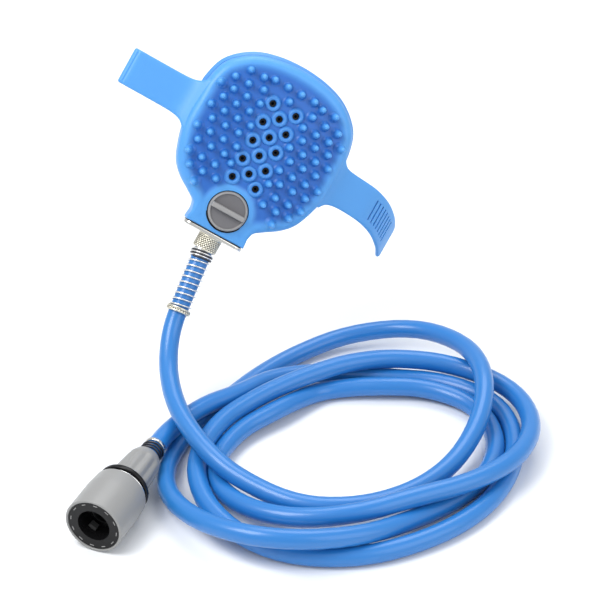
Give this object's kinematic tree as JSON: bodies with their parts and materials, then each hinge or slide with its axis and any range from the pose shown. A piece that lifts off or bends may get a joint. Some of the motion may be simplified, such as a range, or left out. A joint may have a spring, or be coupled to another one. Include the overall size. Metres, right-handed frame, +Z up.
{
  "type": "handheld bath sprayer",
  "caption": "Palm-worn pet bath sprayer with a nubbed silicone face, water jets, a push-button valve, hand straps, and a coiled hose ending in a push-fit tap connector.",
  "frame": {"origin": "middle of the palm rest on the back cover, where the hand holds the sprayer", "axes": "+Z up as the head is held over the hose; +X across, towards the slotted strap; the scrubbing face looks towards -Y and up"},
  "size_m": [0.2806, 0.2571, 0.2118],
  "materials": {
    "blue_silicone": "satin silicone",
    "blue_plastic": "fine moulded texture",
    "grey_plastic": "satin moulded",
    "pale_grey_plastic": "satin moulded",
    "black_plastic": "satin moulded",
    "white_plastic": "natural moulded",
    "black_rubber": "matt",
    "bright_metal": "brushed nickel",
    "knurled_metal": "cross-knurled nickel plate",
    "spring_steel": "bright wire",
    "dark_steel": "dark wire",
    "blue_hose": "glossy translucent PVC"
  },
  "bodies": {
    "sprayer": {"silicone_face": "blue_silicone", "spray_plate": "black_plastic", "screw_bosses": "grey_plastic", "back_cover": "blue_plastic", "chamber_gasket": "black_rubber", "cover_screws": "bright_metal", "valve_body": "white_plastic", "button_spring": "spring_steel", "button_bezel": "black_plastic", "neck_seal": "black_rubber", "flange_plate": "bright_metal", "inlet_fitting": "bright_metal", "hose_ferrule": "knurled_metal", "strain_relief_spring": "spring_steel", "crimp_ring": "knurled_metal", "hose_riser": "blue_hose", "hose_coil": "blue_hose", "hose_tail": "blue_hose", "connector_barrel": "black_plastic", "socket_oring": "black_rubber", "stop_ring": "black_plastic", "sleeve_spring": "spring_steel", "hose_collet": "white_plastic", "end_spring": "dark_steel", "end_ring": "bright_metal"},
    "button": {"push_button": "grey_plastic", "valve_stem": "white_plastic", "valve_seal": "black_rubber"},
    "strap_left": {"strap_left": "blue_silicone"},
    "strap_right": {"strap_right": "blue_silicone"},
    "sleeve": {"slide_sleeve": "pale_grey_plastic"},
    "claw_1": {"claw_1": "black_plastic"},
    "claw_2": {"claw_2": "black_plastic"},
    "claw_3": {"claw_3": "black_plastic"},
    "clamp_nut": {"clamp_nut": "pale_grey_plastic"}
  },
  "joints": [
    {"name": "button_press", "type": "slide", "parent": "sprayer", "child": "button", "axis": [-0.1363, 0.9081, -0.3959], "range_m": [0, 0.002], "stiffness_N_per_m": 600, "deforming": ["button_spring"]},
    {"name": "strap_left_bend", "type": "hinge", "parent": "sprayer", "child": "strap_left", "pos_m": [-0.04061, -0.00196, 0.03476], "axis": [-0.4909, -0.409, -0.7692], "range_deg": [-15, 80], "stiffness_Nm_per_rad": 0.05},
    {"name": "strap_right_bend", "type": "hinge", "parent": "sprayer", "child": "strap_right", "pos_m": [0.04824, -0.01212, -0.01914], "axis": [0.4909, 0.409, 0.7692], "range_deg": [-20, 60], "stiffness_Nm_per_rad": 0.05},
    {"name": "sleeve_slide", "type": "slide", "parent": "sprayer", "child": "sleeve", "axis": [0.38, 0.925, 0], "range_m": [0, 0.005], "stiffness_N_per_m": 900, "deforming": ["sleeve_spring"]},
    {"name": "nut_turn", "type": "hinge", "parent": "sprayer", "child": "clamp_nut", "pos_m": [-0.0721, -0.17313, -0.127], "axis": [0.38, 0.925, 0], "continuous": true},
    {"name": "claw_1_open", "type": "slide", "parent": "sprayer", "child": "claw_1", "axis": [-0.4947, 0.2032, -0.845], "range_m": [0, 0.0016]},
    {"name": "claw_2_open", "type": "slide", "parent": "sprayer", "child": "claw_2", "axis": [-0.4295, 0.1764, 0.8857], "range_m": [0, 0.0016]},
    {"name": "claw_3_open", "type": "slide", "parent": "sprayer", "child": "claw_3", "axis": [0.9242, -0.3797, -0.0407], "range_m": [0, 0.0016]}
  ],
  "couplings": [
    {"joint": "claw_1_open", "follows": "sleeve_slide", "ratio": 0.3},
    {"joint": "claw_2_open", "follows": "sleeve_slide", "ratio": 0.3},
    {"joint": "claw_3_open", "follows": "sleeve_slide", "ratio": 0.3}
  ]
}
